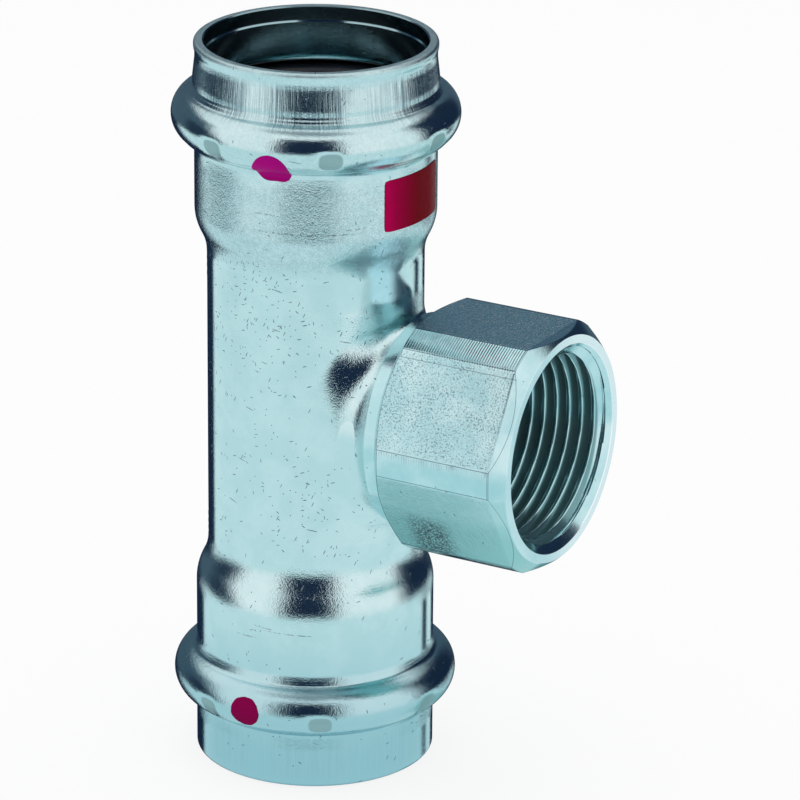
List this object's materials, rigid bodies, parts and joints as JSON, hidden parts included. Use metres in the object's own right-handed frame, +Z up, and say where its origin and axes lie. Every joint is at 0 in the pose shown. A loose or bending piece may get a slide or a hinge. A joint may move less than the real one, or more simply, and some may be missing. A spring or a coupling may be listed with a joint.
{
  "type": "press tee",
  "caption": "Galvanised steel pipe tee: two press sockets on a straight run and a hexagonal branch with a female pipe thread.",
  "frame": {"origin": "middle of the lower socket's mouth, on the run's axis", "axes": "+Z up the run to the upper mouth, +X along the branch to its threaded end"},
  "size_m": [0.0549, 0.0371, 0.097],
  "materials": {
    "zinc_steel": "zinc-plated, softly reflecting, with fine drag marks",
    "turned_steel": "zinc-plated, turned corners, finely pitted flats",
    "seal_rubber": "smooth black rubber",
    "red_paint": "glossy printed red",
    "crimson_paint": "dabbed crimson paint"
  },
  "bodies": {
    "root": {"tee_body": "zinc_steel", "threaded_branch": "turned_steel", "upper_seal_ring": "seal_rubber", "lower_seal_ring": "seal_rubber", "red_band_mark": "red_paint", "upper_paint_dot": "crimson_paint", "lower_paint_dot": "crimson_paint"}
  },
  "joints": []
}
